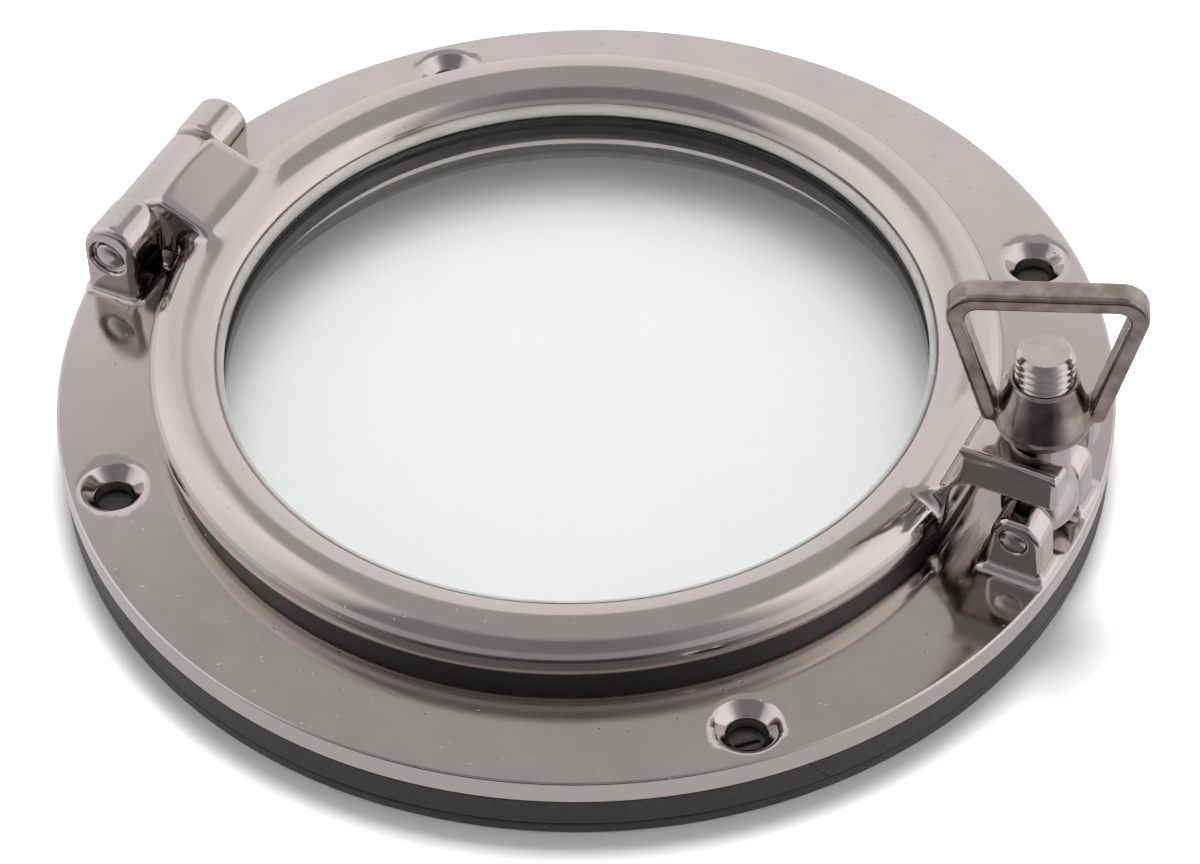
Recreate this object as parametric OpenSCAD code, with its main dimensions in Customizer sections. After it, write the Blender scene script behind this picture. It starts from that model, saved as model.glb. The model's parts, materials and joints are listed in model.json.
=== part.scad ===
// Round opening porthole window: a cast frame on two rubber gaskets, a hinged
// glazed sash, and a swing bolt with a bow nut that clamps the sash shut.
// It lies on its back: +Z points out of the wall, the hinge is at -X and the
// clamp at +X. The origin is the ring's centre on the mounting plane.

/* [Flange] */
// Outer diameter of the flange, which sets the port, the sash and the glass
flange_d = 225; // [188:1:280]
// Thickness of the flange
flange_t = 6; // [5:0.5:9]
// Rounding of the flange's top edge
flange_edge_r = 0.6; // [0.2:0.1:1.5]
// How far the flange's rim lies past the hinge pin
rim_margin = 9.1; // [9:0.1:30]
// Wall of the spigot that lines the port
spigot_wall = 3.5; // [2.5:0.1:5]
// Depth of the spigot below the flange
spigot_drop = 2.2; // [1.5:0.1:8]
// How far the port and the sash lie from the flange's centre, towards the hinge
port_shift = 2; // [0:0.1:3]

/* [Gaskets] */
// Thickness of the thick gasket under the flange
gasket_t = 7; // [5:0.5:10]
// Thickness of the thin gasket against the wall
backing_t = 2.8; // [2:0.1:4]
// How far the gaskets' rims lie inside the flange's rim
gasket_inset = 0.3; // [0:0.1:1]

/* [Fixing holes] */
// Number of countersunk holes
hole_count = 4; // [4:4:8]
// Distance from each hole's centre to the flange's rim
hole_edge = 9.3; // [8:0.1:14]
// Diameter of each through hole
hole_d = 8; // [6:0.1:9.8]
// Diameter of each countersink at the flange's face
countersink_d = 14; // [10:0.5:16]

/* [Sash] */
// Width of the bead
bead_w = 16; // [14.5:0.5:20]
// How far the bead's inner side reaches in over the port
lip_cover = 3.3; // [2.8:0.1:4]
// Height of the bead's crown above the flange
bead_crown_h = 13.9; // [13:0.5:17]
// Height of the bead's widest line above the flange
bead_mid_h = 7.3; // [6.5:0.1:8]
// Height of the bead's underside above the flange, which the seal fills
sash_gap = 3.5; // [3:0.1:4]
// Height of the glazing lip's underside above the flange
lip_h = 4.9; // [4.6:0.1:5.5]

/* [Glazing] */
// Thickness of the glass
glass_t = 4.2; // [3:0.1:5.2]
// Depth that the glass reaches into its rubber channel
glass_bite = 1.9; // [1:0.1:2.2]
// Thickness of the rubber channel's legs
channel_leg = 0.6; // [0.4:0.1:0.8]
// How far the rubber channel's foot hangs into the port
channel_drop = 3.4; // [1:0.1:4]
// Width of the sash seal
seal_w = 4.6; // [3:0.1:5]

/* [Hinge] */
// Distance from the bead's outer side to the hinge pin
hinge_arm = 10.7; // [10.5:0.1:14]
// Height of the hinge pin above the flange
hinge_h = 10.8; // [10:0.1:13]
// Diameter of the hinge pin
hinge_pin_d = 6; // [4:0.1:7.4]
// Length of the sash's knuckle
knuckle_l = 23.8; // [18:0.2:30]
// Wall of the knuckle's barrel round the pin
knuckle_wall = 3.5; // [3:0.1:4]
// Thickness of each hinge lug
hinge_lug_t = 12.2; // [8:0.2:14]
// Wall of the hinge lugs' rounded tops round the pin
hinge_lug_wall = 4.1; // [3.5:0.1:5]
// Side clearance between the knuckle and each lug
hinge_side_gap = 0.3; // [0.3:0.1:1]
// Width of the chamfer around each end of the hinge pin
peen_w = 1.3; // [0.6:0.1:2]

/* [Clamp] */
// Distance from the bead's outer side to the swing bolt's pin
clamp_arm = 15; // [14.5:0.1:16.5]
// Height of the swing bolt's pin above the flange
clamp_h = 9.5; // [9:0.1:11]
// Diameter of the swing bolt's pin
clamp_pin_d = 6; // [4:0.1:6.5]
// Thickness of each clamp lug
clamp_lug_t = 7.8; // [5:0.2:9]
// Diameter of the swing bolt over its thread
bolt_d = 11.9; // [9.9:0.1:14.3]
// How much wider than its shank the bolt's eye is, on each side
eye_shoulder = 0.35; // [0.1:0.05:1]
// How far the eye's rounding stands out past the shank
eye_swell = 1.25; // [0.6:0.05:1.5]
// Side clearance between the eye and each clamp lug
eye_side_gap = 0.2; // [0.2:0.1:0.5]
// Gap left at the end of the ear's slot where the closed bolt leans in
lean_gap = 0.15; // [0.1:0.05:0.5]
// How far the bolt's end stands past the nut's hub
bolt_past = 6.8; // [2:0.2:14]

/* [Ear] */
// Height of the ear's underside above the bead's crown
ear_rise = 5.5; // [4.5:0.1:8]
// Thickness of the ear at its seat
ear_t = 8.6; // [7:0.1:10.4]
// Width of each prong of the ear
prong_w = 5.8; // [4.5:0.1:7]
// Clearance between the bolt and each side of the ear's slot
slot_clear = 0.8; // [0.5:0.05:1]
// How far the prongs reach past the bolt's centre line
prong_past = 7.6; // [6:0.1:8]
// Height of the ridge along the outer side of each prong's seat
ridge_h = 0.8; // [0.4:0.1:1.2]
// Width of that ridge
ridge_w = 1.2; // [0.8:0.1:1.5]

/* [Bow nut] */
// Height of the nut's hub
hub_h = 13.8; // [10:0.2:16]
// Greatest wall of the hub round the bolt
hub_wall = 4.35; // [3.5:0.05:5.25]
// Wall of the hub's top round the bolt
hub_top_wall = 1; // [0.8:0.05:2.5]
// Height of the bow above the nut's underside
bow_h = 36.8; // [32:0.2:44]
// Half width of the bow over its top corners
bow_half_w = 20.4; // [18:0.1:24]
// Thickness of the bow's bar
bow_bar_t = 3.7; // [3:0.1:4.6]
// Depth of the bow's bar, across its plane
bow_depth = 5.8; // [4:0.1:7]
// Angle that the bow is parked at, from +X
bow_turn = 21.6; // [0:0.2:90]
// Clearance between the nut's underside and the prongs' top corners as the bolt swings
nut_clear = 0.2; // [0.1:0.1:4]

/* [Fits] */
// Radial running clearance of pins and of the nut on its bolt
run_clear = 0.05; // [0.02:0.01:0.08]
// Clearance between the glazing parts and their seats
glazing_clear = 0.1; // [0.05:0.05:0.2]

/* [Hidden] */
$fn = 96;
steel = "#b9b2b0";
rubber = "#2d2b29";

// Levels, from the wall upwards
gasket_z = backing_t;
flange_z = gasket_z + gasket_t;
face_z = flange_z + flange_t;

// Radii, from the flange's rim inwards
flange_r = flange_d / 2;
hole_pcd = flange_d - 2 * hole_edge;
hinge_reach = flange_r - rim_margin;
bead_out_r = hinge_reach - hinge_arm - port_shift;
bead_mid_r = bead_out_r - bead_w / 2;
port_r = bead_out_r - bead_w + lip_cover;
spigot_r = port_r + spigot_wall;
clamp_reach = bead_out_r - port_shift + clamp_arm;

// The sash's section: the seal lies under the bead, outside a skirt that covers the port's edge
bead_rise = bead_crown_h - bead_mid_h;
bead_steps = 24;
ring_clear = 0.3;
skirt_cover = 2;
skirt_r = port_r + skirt_cover;
skirt_h = 1.7;
seal_gap = 0.3;
seal_inset = 0.45;
seal_out_r = bead_radius(sash_gap, 1) - seal_inset;
seal_in_r = seal_out_r - seal_w;
skirt_out_r = seal_in_r - seal_gap;

// Glazing: the glass lies in a rubber channel under the sash's lip
channel_r = port_r - ring_clear;
channel_show = 0.1;
channel_in_r = bead_radius(lip_h, -1) - channel_show;
glass_r = channel_in_r + glass_bite;
glass_z = face_z + lip_h - channel_leg - glass_t - glazing_clear / 2;
channel_z = glass_z - glazing_clear / 2 - channel_leg;
retainer_drop = 0.5;
retainer_t = skirt_h - retainer_drop;

// Joint centres
hinge_z = face_z + hinge_h;
clamp_z = face_z + clamp_h;
hinge_bore_r = hinge_pin_d / 2;
clamp_bore_r = clamp_pin_d / 2;
knuckle_r = hinge_bore_r + knuckle_wall;
hinge_lug_r = hinge_bore_r + hinge_lug_wall;
hinge_lug_y = knuckle_l / 2 + hinge_side_gap;
lug_foot_z = face_z - 1;

// Swing bolt, ear and nut: the nut's underside swings clear of the prongs' top corners
bolt_r = bolt_d / 2;
eye_w = bolt_d + 2 * eye_shoulder;
eye_r = bolt_r + eye_swell;
clamp_lug_y = eye_w / 2 + eye_side_gap;
ear_z = face_z + bead_crown_h + ear_rise;
seat_z = ear_z + ear_t;
slot_w = bolt_d + 2 * slot_clear;
ear_half_w = slot_w / 2 + prong_w;
ear_end_x = clamp_reach + prong_past;
bolt_lean = atan((slot_clear - lean_gap) / (seat_z - clamp_z));
nut_reach = norm([prong_past, seat_z - clamp_z]) + nut_clear;
hub_r = bolt_r + hub_wall;
hub_top_r = bolt_r + hub_top_wall;
bolt_l = nut_reach + hub_h + bolt_past;
bow_corner_r = 5;
bow_foot_r = 1.5;
gap_low_r = 1;
gap_top_r = 2;

// Radius of the bead's elliptical section at a height above the flange
function bead_radius(h, side) =
    bead_mid_r + side * bead_w / 2 * sqrt(1 - pow((h - bead_mid_h) / bead_rise, 2));

// Angle on the bead's ellipse at a height above the flange, on its outer half
function bead_angle(h) = asin((h - bead_mid_h) / bead_rise);

// Points on an arc of an ellipse
function arc(centre, rx, ry, from, to, steps) =
    [for (i = [0:steps]) let (a = from + (to - from) * i / steps) centre + [rx * cos(a), ry * sin(a)]];

// Points of a polygon with each corner rounded by its own radius
function unit(v) = v / norm(v);
function rounded(points, radii, steps = 6) = [
    for (i = [0:len(points) - 1])
        let (n = len(points), p = points[i], a = unit(points[(i + n - 1) % n] - p), b = unit(points[(i + 1) % n] - p),
             half = acos(a * b) / 2, r = radii[i], c = p + unit(a + b) * r / sin(half),
             from = p + a * r / tan(half) - c, to = p + b * r / tan(half) - c)
            for (k = [0:steps]) r == 0 ? p : c + unit(from * (1 - k / steps) + to * k / steps) * r
];

// A solid with an outline drawn in X and Z, centred on y
module slab(points, y, t) {
    translate([0, y + t / 2, 0]) rotate([90, 0, 0]) linear_extrude(t) polygon(points);
}

module y_rod(x, z, r, l) {
    translate([x, 0, z]) rotate([90, 0, 0]) cylinder(h = l, r = r, center = true);
}

module ring(outer, inner, z, t) {
    translate([0, 0, z]) difference() {
        cylinder(h = t, r = outer);
        translate([0, 0, -1]) cylinder(h = t + 2, r = inner);
    }
}

module at_holes() {
    for (i = [0:hole_count - 1]) rotate(45 + i * 360 / hole_count) translate([hole_pcd / 2, 0, 0]) children();
}

// Moves what rides on the swing bolt, which leans in towards the sash when it is closed
module on_bolt() {
    translate([clamp_reach, 0, clamp_z]) rotate([0, -bolt_lean, 0]) children();
}

// Moves what is centred on the port, which lies off the flange's centre
module at_port() {
    translate([-port_shift, 0, 0]) children();
}

module gasket(z, t) {
    difference() {
        translate([0, 0, z]) cylinder(h = t, r = flange_r - gasket_inset);
        at_port() translate([0, 0, z - 1]) cylinder(h = t + 2, r = spigot_r + ring_clear);
        at_holes() translate([0, 0, z - 1]) cylinder(h = t + 2, r = hole_d / 2);
    }
}

module frame_ring() {
    edge = arc([flange_r - flange_edge_r, face_z - flange_edge_r], flange_edge_r, flange_edge_r, 0, 90, 5);
    lip = 0.8;
    difference() {
        union() {
            rotate_extrude() polygon(concat([[0, face_z], [0, flange_z], [flange_r, flange_z]], edge));
            at_port() translate([0, 0, flange_z - spigot_drop]) cylinder(h = spigot_drop + 1, r = spigot_r);
        }
        at_port() {
            translate([0, 0, flange_z - spigot_drop - 1])
                cylinder(h = spigot_drop + flange_t + 2, r = port_r);
            translate([0, 0, face_z - lip]) cylinder(h = lip, r1 = port_r, r2 = port_r + lip);
            translate([0, 0, face_z]) cylinder(h = 1, r = port_r + lip);
        }
    }
}

module countersunk_hole() {
    sink = (countersink_d - hole_d) / 2;
    translate([0, 0, flange_z - 1]) cylinder(h = flange_t + 2, r = hole_d / 2);
    translate([0, 0, face_z - sink]) cylinder(h = sink, r1 = hole_d / 2, r2 = countersink_d / 2);
    translate([0, 0, face_z]) cylinder(h = 1, r = countersink_d / 2);
}

// A hinge lug: its rounded top lies a little above the pin, over a straight foot
module hinge_lug(side) {
    foot_out = 6.3;
    foot_in = 6.8;
    cap_in = 0.3;
    cap_up = 1.4;
    y = side * (hinge_lug_y + hinge_lug_t / 2);
    slab(concat([[-hinge_reach - foot_out, lug_foot_z], [-hinge_reach + foot_in, lug_foot_z]],
                arc([cap_in - hinge_reach, hinge_z + cap_up], hinge_lug_r, hinge_lug_r, 0, 180, 20)), y, hinge_lug_t);
}

// A clamp lug: a foot that narrows upwards, cut off flat over the pin with two slanted shoulders
module clamp_lug(side) {
    top_wall = 2.2;
    top_half_w = 3;
    shoulder_up = 2.2;
    shoulder_half_w = 5.5;
    foot_half_w = 6.4;
    lean = 0.5;
    corner_r = 1.5;
    y = side * (clamp_lug_y + clamp_lug_t / 2);
    top = clamp_bore_r + top_wall;
    outline = [[lean - foot_half_w, lug_foot_z - clamp_z], [lean - shoulder_half_w, shoulder_up], [-top_half_w, top],
               [top_half_w, top], [lean + shoulder_half_w, shoulder_up], [lean + foot_half_w, lug_foot_z - clamp_z]];
    slab([for (p = rounded(outline, [0, corner_r, corner_r, corner_r, corner_r, 0])) p + [clamp_reach, clamp_z]],
         y, clamp_lug_t);
}

module base_frame() color(steel) difference() {
    union() {
        frame_ring();
        for (side = [-1, 1]) {
            hinge_lug(side);
            clamp_lug(side);
        }
    }
    at_holes() countersunk_hole();
    hinge_out_y = hinge_lug_y + hinge_lug_t;
    y_rod(-hinge_reach, hinge_z, hinge_bore_r, 2 * hinge_out_y + 2);
    for (side = [-1, 1]) translate([-hinge_reach, side * (hinge_out_y - peen_w), hinge_z])
        rotate([-90 * side, 0, 0]) cylinder(h = peen_w, r1 = hinge_bore_r, r2 = hinge_bore_r + peen_w);
    y_rod(clamp_reach, clamp_z, clamp_bore_r, 2 * (clamp_lug_y + clamp_lug_t) + 2);
}

module flange_gasket() color(rubber) gasket(gasket_z, gasket_t);

module backing_gasket() color(rubber) gasket(0, backing_t);

// The sash's ring: a domed bead, a glazing rebate under its lip and a seal seat
module sash_bead() {
    outer_a = bead_angle(sash_gap);
    inner_a = 180 - bead_angle(lip_h);
    crown = arc([bead_mid_r, face_z + bead_mid_h], bead_w / 2, bead_rise, outer_a, inner_a, bead_steps);
    rotate_extrude() polygon(concat(crown, [
        [skirt_r, face_z + lip_h], [skirt_r, face_z + skirt_h], [skirt_out_r, face_z + skirt_h],
        [skirt_out_r, face_z + sash_gap]]));
}

// The knuckle's arm: a barrel round the pin and a hump that runs into the bead
module knuckle() {
    bead_x = -port_shift - bead_mid_r;
    crown_z = face_z + bead_crown_h;
    top = [7.5 - hinge_reach, hinge_z + knuckle_r + 2.8];
    pad = [bead_x - 2.6, crown_z + 2];
    inside = [[bead_x, crown_z - 0.4], [bead_x, face_z + bead_mid_h]];
    belly = [bead_x - bead_w / 2 + 1, face_z + sash_gap + 0.5];
    barrel = [[4 - hinge_reach, hinge_z - knuckle_r + 1.2], [-hinge_reach, hinge_z],
              [-hinge_reach - 2, hinge_z + knuckle_r - 0.6]];
    top_r = 3;
    pad_r = 1;
    slab(rounded(concat([top, pad], inside, [belly], barrel), [top_r, pad_r, 0, 0, 0, 0, 0, 0]), 0, knuckle_l);
    y_rod(-hinge_reach, hinge_z, knuckle_r, knuckle_l);
}

// The ear: a neck that rises from the bead and two prongs astride the bolt
module ear() {
    bead_x = bead_mid_r - port_shift;
    neck_x = bead_x + bead_w / 2;
    heel_x = neck_x + 2.2;
    under_r = 5;
    sink = 1;
    foot = [[bead_x, face_z + bead_mid_h], [neck_x - 1.2, face_z + sash_gap + 0.6]];
    under = arc([neck_x + under_r, ear_z - under_r], under_r, under_r, 180, 90, 8);
    back = arc([bead_x, seat_z - sink], heel_x - bead_x, ear_t + ear_rise - sink + 0.4, 0, -80, 8);
    difference() {
        union() {
            slab(concat(foot, under, [[ear_end_x, ear_z], [ear_end_x, seat_z], [heel_x, seat_z]], back),
                 0, 2 * ear_half_w);
            for (side = [-1, 1])
                translate([heel_x, side * (ear_half_w - ridge_w / 2) - ridge_w / 2, seat_z - sink])
                    cube([ear_end_x - heel_x, ridge_w, ridge_h + sink]);
        }
        translate([clamp_reach, 0, ear_z - 5]) cylinder(h = ear_t + 10, r = slot_w / 2);
        translate([clamp_reach, -slot_w / 2, ear_z - 5]) cube([prong_past + 5, slot_w, ear_t + 10]);
    }
}

module sash_ring() color(steel) difference() {
    union() {
        at_port() sash_bead();
        knuckle();
        ear();
    }
    y_rod(-hinge_reach, hinge_z, hinge_bore_r + run_clear, knuckle_l + 2);
}

module glass_pane() color("#bfc6c4", 0.4) at_port() translate([0, 0, glass_z]) cylinder(h = glass_t, r = glass_r);

module glazing_seal() color(rubber) {
    leg_in_r = channel_in_r - 0.2;
    foot_taper = 0.7;
    body_r = skirt_r - glazing_clear;
    top = face_z + lip_h;
    foot = face_z + skirt_h;
    groove_r = glass_r + glazing_clear / 2;
    at_port() rotate_extrude() polygon([
        [channel_in_r, top], [body_r, top], [body_r, foot], [channel_r, foot], [channel_r, channel_z],
        [channel_r - foot_taper, face_z - channel_drop], [leg_in_r, face_z - channel_drop],
        [leg_in_r, channel_z + channel_leg],
        [groove_r, channel_z + channel_leg], [groove_r, top - channel_leg], [channel_in_r, top - channel_leg]]);
}

module retaining_ring() color(steel) at_port()
    ring(skirt_out_r, channel_r + glazing_clear, face_z + skirt_h - retainer_t, retainer_t);

module sash_seal() color(rubber) at_port() ring(seal_out_r, seal_in_r, face_z, sash_gap);

// A pin on the hinge's axis with both ends peened to a small chamfer
module hinge_pin() color(steel) {
    half = hinge_lug_y + hinge_lug_t;
    peen = 0.5;
    translate([-hinge_reach, 0, hinge_z]) rotate([90, 0, 0]) rotate_extrude() polygon([
        [0, -half], [hinge_bore_r - peen, -half], [hinge_bore_r, peen - half], [hinge_bore_r, half - peen],
        [hinge_bore_r - peen, half], [0, half]]);
}

module latch_pin() color(steel) y_rod(clamp_reach, clamp_z, clamp_bore_r, 2 * (clamp_lug_y + clamp_lug_t));

module swing_bolt() color(steel) on_bolt() {
    chamfer = 0.9;
    difference() {
        union() {
            y_rod(0, 0, eye_r, eye_w);
            cylinder(h = bolt_l - chamfer, r = bolt_r);
            translate([0, 0, bolt_l - chamfer]) cylinder(h = chamfer, r1 = bolt_r, r2 = bolt_r - chamfer);
        }
        y_rod(0, 0, clamp_bore_r + run_clear, eye_w + 2);
    }
}

// The bow: a strip bent into a trapezium, whose legs run down outside the hub and merge with its foot
module bow() {
    foot_z = 3.5;
    foot_half_w = hub_r + 1.8;
    top_half_w = bow_half_w + 1.2;
    slant = (top_half_w - foot_half_w) / (bow_h - foot_z);
    gap_z = foot_z + 2.9;
    gap_top_z = bow_h - bow_bar_t;
    function gap_half_w(z) = foot_half_w + slant * (z - foot_z) - bow_bar_t * norm([1, slant]);
    outer = rounded([[-foot_half_w, foot_z], [foot_half_w, foot_z], [top_half_w, bow_h], [-top_half_w, bow_h]],
                    [bow_foot_r, bow_foot_r, bow_corner_r, bow_corner_r]);
    inner = rounded([[-gap_half_w(gap_z), gap_z], [gap_half_w(gap_z), gap_z],
                     [gap_half_w(gap_top_z), gap_top_z], [-gap_half_w(gap_top_z), gap_top_z]],
                    [gap_low_r, gap_low_r, gap_top_r, gap_top_r]);
    translate([0, bow_depth / 2, 0]) rotate([90, 0, 0]) linear_extrude(bow_depth) difference() {
        polygon(outer);
        polygon(inner);
    }
}

module bow_nut() color("#8f8a87") on_bolt() translate([0, 0, nut_reach]) rotate(bow_turn) difference() {
    edge = 2.4;
    union() {
        rotate_extrude() polygon(concat([[0, 0]], arc([hub_r - edge, edge], edge, edge, -90, 10, 8),
                                        [[hub_top_r, hub_h], [0, hub_h]]));
        bow();
    }
    translate([0, 0, -1]) cylinder(h = hub_h + 3, r = bolt_r + run_clear);
}

base_frame();
flange_gasket();
backing_gasket();
sash_ring();
glass_pane();
glazing_seal();
retaining_ring();
sash_seal();
hinge_pin();
latch_pin();
swing_bolt();
bow_nut();
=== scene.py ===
# %% [markdown]
# # An opening porthole
#
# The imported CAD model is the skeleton: it says where every piece sits and what it moves with.
# This script gives each piece its real surface. The castings are blended solids, skinned from a
# distance field, because a cast and hand-polished part has no hard edges for a bevel to work from.

import json
import math

import bpy
import numpy as np
from mathutils import Matrix, Vector


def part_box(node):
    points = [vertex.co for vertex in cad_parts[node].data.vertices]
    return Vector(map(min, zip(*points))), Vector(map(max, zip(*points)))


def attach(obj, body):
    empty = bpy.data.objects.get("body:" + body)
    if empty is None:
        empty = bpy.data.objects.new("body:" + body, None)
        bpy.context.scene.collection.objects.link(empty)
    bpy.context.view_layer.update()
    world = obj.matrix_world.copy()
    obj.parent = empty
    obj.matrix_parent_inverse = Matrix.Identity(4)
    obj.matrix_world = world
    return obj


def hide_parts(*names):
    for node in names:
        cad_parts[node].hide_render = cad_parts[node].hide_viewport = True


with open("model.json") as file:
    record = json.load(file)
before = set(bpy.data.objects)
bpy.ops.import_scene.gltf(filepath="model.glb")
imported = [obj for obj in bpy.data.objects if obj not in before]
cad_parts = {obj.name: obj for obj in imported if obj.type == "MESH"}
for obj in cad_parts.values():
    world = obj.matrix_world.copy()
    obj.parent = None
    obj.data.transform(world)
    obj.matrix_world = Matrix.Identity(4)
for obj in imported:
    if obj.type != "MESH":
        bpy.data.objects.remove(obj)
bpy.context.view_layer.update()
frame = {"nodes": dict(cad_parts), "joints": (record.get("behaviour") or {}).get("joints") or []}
MM = 0.001
print("pieces in the frame:", sorted(frame["nodes"]))

# %% [markdown]
# ## Sizes that come from the frame
#
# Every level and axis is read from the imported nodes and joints, so the looks follow the CAD. Work is
# done in millimetres, and a mesh is scaled to metres when it is made.

# %% Read levels and axes
def node_box(name):
    low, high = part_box(name)
    return np.array(low) / MM, np.array(high) / MM


def joint_named(name):
    return next(joint for joint in frame["joints"] if joint["name"] == name)


frame_low, frame_high = node_box("base_frame")
gasket_low, gasket_high = node_box("flange_gasket")
backing_low, backing_high = node_box("backing_gasket")
sash_low, sash_high = node_box("sash_ring")
seal_low, seal_high = node_box("sash_seal")
bolt_low, bolt_high = node_box("swing_bolt")
hinge_pin_low, hinge_pin_high = node_box("hinge_pin")
latch_pin_low, latch_pin_high = node_box("latch_pin")
hinge = np.array(joint_named("sash_hinge")["pos_m"]) / MM
clamp = np.array(joint_named("bolt_swing")["pos_m"]) / MM

flange_r = (gasket_high[1] - gasket_low[1]) / 2 + 0.3
flange_z = gasket_high[2]
face_z = seal_low[2]
port_x = (seal_low[0] + seal_high[0]) / 2
bead_r_out = (sash_high[1] - sash_low[1]) / 2
print("flange radius", round(flange_r, 1), "face height", round(face_z, 1), "port centre x", round(port_x, 1))

# %% [markdown]
# ## Distance fields
#
# A distance field says how far each point of space is from a shape, and is negative inside it. Two
# fields are joined with a smooth minimum, which leaves a fillet like the one that a casting has where
# a lug meets its flange, and cut with a smooth maximum, which leaves a softly polished edge.

# %% Joining and cutting fields
def join(a, b, fillet):
    overlap = np.maximum(fillet - np.abs(a - b), 0)
    return np.minimum(a, b) - overlap * overlap / (4 * fillet)


def cut(a, b, edge):
    return -join(-a, b, edge)


def keep(a, b, edge):
    return -join(-a, -b, edge)


print("a 2 mm fillet adds", -float(join(0.0, 0.0, 2.0)), "mm in its corner")


def box_field(u, v, low, high):
    cu, cv = (low[0] + high[0]) / 2, (low[1] + high[1]) / 2
    du = np.abs(u - cu) - (high[0] - low[0]) / 2
    dv = np.abs(v - cv) - (high[1] - low[1]) / 2
    outside = np.hypot(np.maximum(du, 0), np.maximum(dv, 0))
    return outside + np.minimum(np.maximum(du, dv), 0)


def ellipse_field(u, v, centre, ru, rv):
    pu, pv = u - centre[0], v - centre[1]
    k0 = np.hypot(pu / ru, pv / rv) + 1e-9
    k1 = np.hypot(pu / ru ** 2, pv / rv ** 2) + 1e-9
    return k0 * (k0 - 1) / k1


# %% [markdown]
# ## Outlines
#
# A lug, an ear or a bow is an outline with a thickness, as it would be drawn for the pattern maker. An
# outline needs only its corners: each is turned into an arc, and the field reads how far a point is
# from the nearest run of it.

# %% Outlines and slabs
def outline_field(u, v, outline):
    """Signed distance in a plane to a closed outline of straight runs."""
    points = np.asarray(outline, float)
    nearest = np.full(u.shape, 1e9)
    odd = np.zeros(u.shape, bool)
    for (au, av), (bu, bv) in zip(points, np.roll(points, -1, axis=0)):
        eu, ev = bu - au, bv - av
        t = np.clip(((u - au) * eu + (v - av) * ev) / (eu * eu + ev * ev + 1e-12), 0, 1)
        nearest = np.minimum(nearest, (u - au - t * eu) ** 2 + (v - av - t * ev) ** 2)
        if av != bv:
            odd ^= ((av > v) != (bv > v)) & (u < (bu - au) * (v - av) / (bv - av) + au)
    return np.where(odd, -1, 1) * np.sqrt(nearest)


def rounded(points, radii, steps=6):
    """An outline with each corner turned into an arc."""
    points = [np.array(p, float) for p in points]
    out = []
    for i, (p, r) in enumerate(zip(points, radii)):
        a, b = points[i - 1] - p, points[(i + 1) % len(points)] - p
        a, b = a / np.linalg.norm(a), b / np.linalg.norm(b)
        half = math.acos(np.clip(a @ b, -1, 1)) / 2
        if r == 0:
            out.append(p)
            continue
        centre = p + (a + b) / np.linalg.norm(a + b) * r / math.sin(half)
        start, stop = p + a * r / math.tan(half) - centre, p + b * r / math.tan(half) - centre
        for k in range(steps + 1):
            d = start * (1 - k / steps) + stop * k / steps
            out.append(centre + d / np.linalg.norm(d) * r)
    return out


def arc(centre, ru, rv, start, stop, steps):
    a = np.radians(np.linspace(start, stop, steps + 1))
    return np.stack([centre[0] + ru * np.cos(a), centre[1] + rv * np.sin(a)], axis=1)


def slab_field(x, y, z, outline, middle, half, edge):
    """An outline in x and z, as thick as two halves along y, with rounded rims."""
    points = np.asarray(outline)
    far = np.maximum(box_field(x, z, points.min(axis=0), points.max(axis=0)), np.abs(y - middle) - half)
    near = far < 8
    field = far.copy()
    inside = outline_field(x[near], z[near], outline)
    field[near] = keep(inside, np.abs(y[near] - middle) - half, edge)
    return field


print("a rounded square has", len(rounded([(0, 0), (9, 0), (9, 9), (0, 9)], [2] * 4)), "points")

# %% [markdown]
# ## Skinning a field
#
# Surface nets put one vertex in each grid cell that the surface passes through, and join neighbours
# with quads. The grid may be polar, fine at the lugs and coarse round the plain ring. Each vertex is
# then slid along the field's slope until it lies on the surface, which leaves a smooth, closed skin.

# %% Surface nets on a bent grid
def slope(field, p, step=0.02):
    out = np.empty_like(p)
    for axis in range(3):
        d = np.zeros(3)
        d[axis] = step
        out[:, axis] = (field(*(p + d).T) - field(*(p - d).T)) / (2 * step)
    return out


def skin(field, a, b, c, place, around=None):
    """Vertices and quads of the zero surface. Axis number around, if given, closes on itself."""
    grid = np.stack(place(*np.meshgrid(a, b, c, indexing="ij")), axis=-1)
    values = np.stack([field(*np.moveaxis(sheet, -1, 0)) for sheet in grid])
    shape = np.array(values.shape)
    total = np.zeros((values.size, 3))
    count = np.zeros(values.size)
    quads = []
    for axis in range(3):
        u, v = (axis + 1) % 3, (axis + 2) % 3
        change = (values < 0) != (np.roll(values, -1, axis) < 0)
        if axis != around:
            change[tuple(slice(None) if k != axis else -1 for k in range(3))] = False
        cell = np.argwhere(change)
        beyond = cell.copy()
        beyond[:, axis] = (beyond[:, axis] + 1) % shape[axis]
        here, there = values[tuple(cell.T)], values[tuple(beyond.T)]
        t = (here / (here - there))[:, None]
        crossing = grid[tuple(cell.T)] * (1 - t) + grid[tuple(beyond.T)] * t
        corners = []
        for du, dv in ((1, 1), (0, 1), (0, 0), (1, 0)):
            near = cell.copy()
            near[:, u] -= du
            near[:, v] -= dv
            near %= shape
            flat = np.ravel_multi_index(tuple(near.T), values.shape)
            np.add.at(total, flat, crossing)
            np.add.at(count, flat, 1)
            corners.append(flat)
        quad = np.stack(corners, axis=1)
        quads.append(np.where((here < 0)[:, None], quad, quad[:, ::-1]))
    quads = np.concatenate(quads)
    used, index = np.unique(quads, return_inverse=True)
    points = total[used] / count[used][:, None]
    for _ in range(3):
        g = slope(field, points)
        points = points - field(*points.T)[:, None] * g / np.maximum((g * g).sum(axis=1), 0.2)[:, None]
    return points, index.reshape(quads.shape)


# %% [markdown]
# ## Grids and pieces
#
# The ring's grid is polar, so that its rows run round the ring as a lathe's marks would. Angles are
# close together only where a lug or a hole needs them, which keeps each piece's triangles in hand.

# %% Grids
def polar(radius, angle, z):
    return radius * np.cos(angle), radius * np.sin(angle), z


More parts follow.
